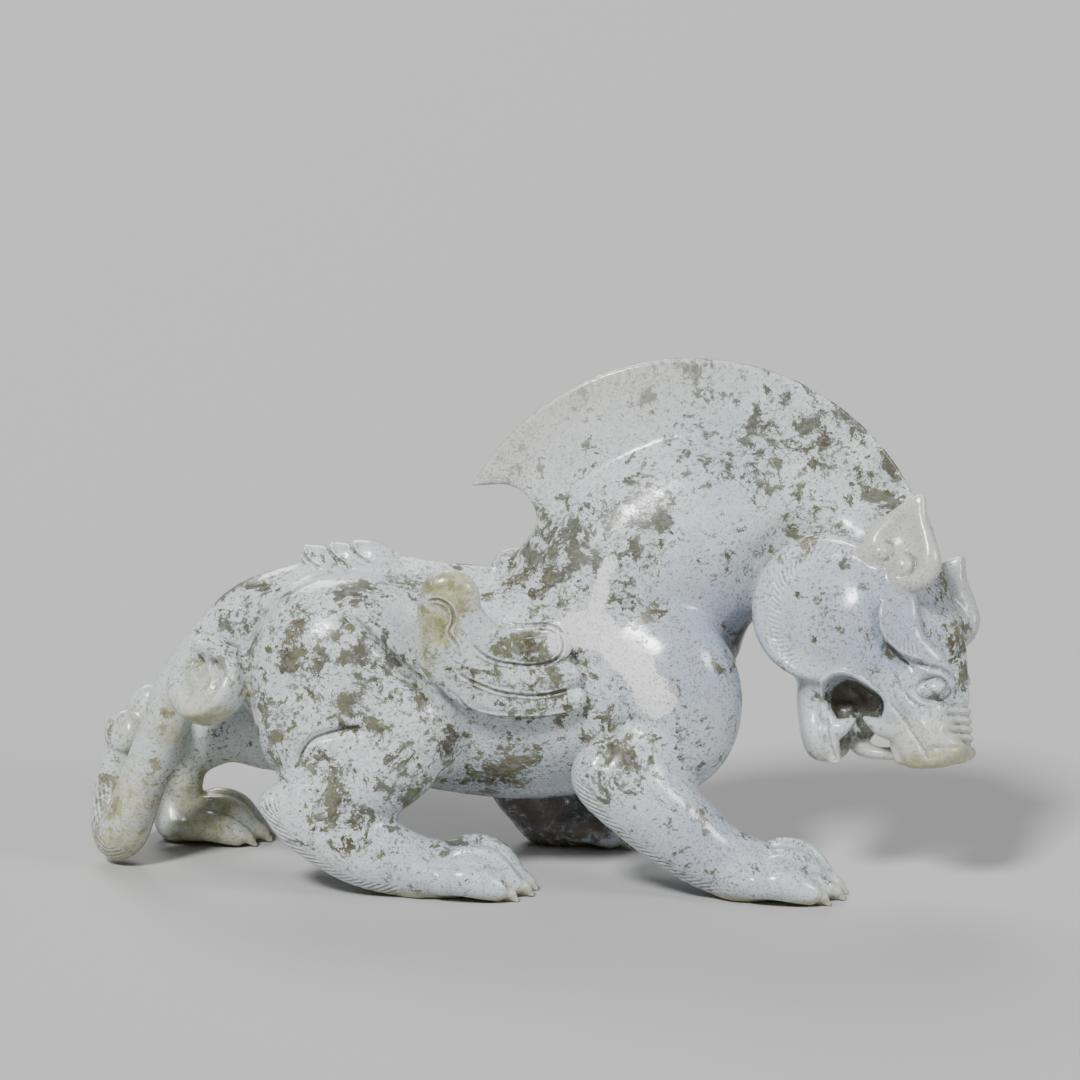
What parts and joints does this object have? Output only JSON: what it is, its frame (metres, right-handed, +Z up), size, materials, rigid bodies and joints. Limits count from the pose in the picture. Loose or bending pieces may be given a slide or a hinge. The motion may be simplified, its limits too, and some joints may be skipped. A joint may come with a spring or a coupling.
{
  "type": "jade beast statue",
  "caption": "Carved stone statue of a prowling mythical beast with an arched crest, small wings, a bowed head turned to one side and a scrolled tail, standing on its paws.",
  "frame": {"origin": "on the ground, under the middle of the bounding box", "axes": "+X along the body towards the head, +Y towards the beast's left side, +Z up; the head is bowed and turned towards -Y"},
  "size_m": [0.1844, 0.0652, 0.1072],
  "materials": {
    "jade": "polished"
  },
  "bodies": {
    "root": {"jade_beast": "jade"}
  },
  "joints": []
}
